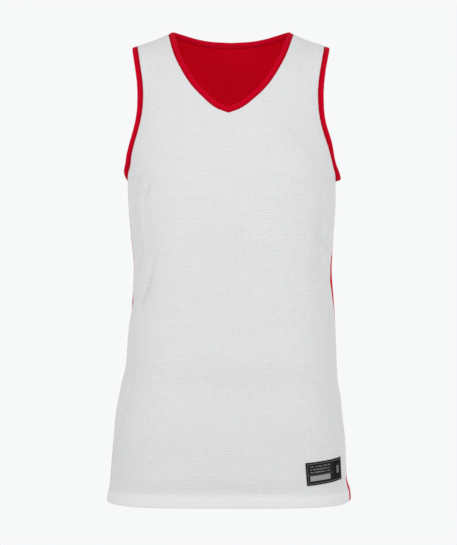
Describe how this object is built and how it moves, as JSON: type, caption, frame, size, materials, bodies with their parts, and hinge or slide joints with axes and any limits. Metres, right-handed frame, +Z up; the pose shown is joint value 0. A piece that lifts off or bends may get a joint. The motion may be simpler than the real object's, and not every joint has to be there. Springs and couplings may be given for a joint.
{
  "type": "basketball jersey filled out with no wearer",
  "caption": "Sleeveless V-neck jersey of white mesh over a red mesh layer, with red neck and armhole bands and side stripes, filled out as worn.",
  "frame": {"origin": "centre line of the jersey, between the shoulder lines, halfway up the straps' tops, where the wearer's shoulders hold it", "axes": "+X to the wearer's left, -Y out of the front, +Z up"},
  "size_m": [0.3751, 0.2413, 0.7212],
  "materials": {
    "white_mesh": "white polyester mesh, matt, small dimples",
    "red_mesh": "red polyester mesh, matt, small dimples",
    "red_band": "red knit band, folded double, matt",
    "woven_label": "black woven label, slight sheen"
  },
  "bodies": {
    "root": {"front_panel": "white_mesh", "back_panel": "white_mesh", "front_lining": "red_mesh", "back_lining": "red_mesh", "side_stripe_left": "red_mesh", "side_stripe_right": "red_mesh", "neck_band": "red_band", "armhole_band_left": "red_band", "armhole_band_right": "red_band", "hem_label": "woven_label"}
  },
  "joints": []
}
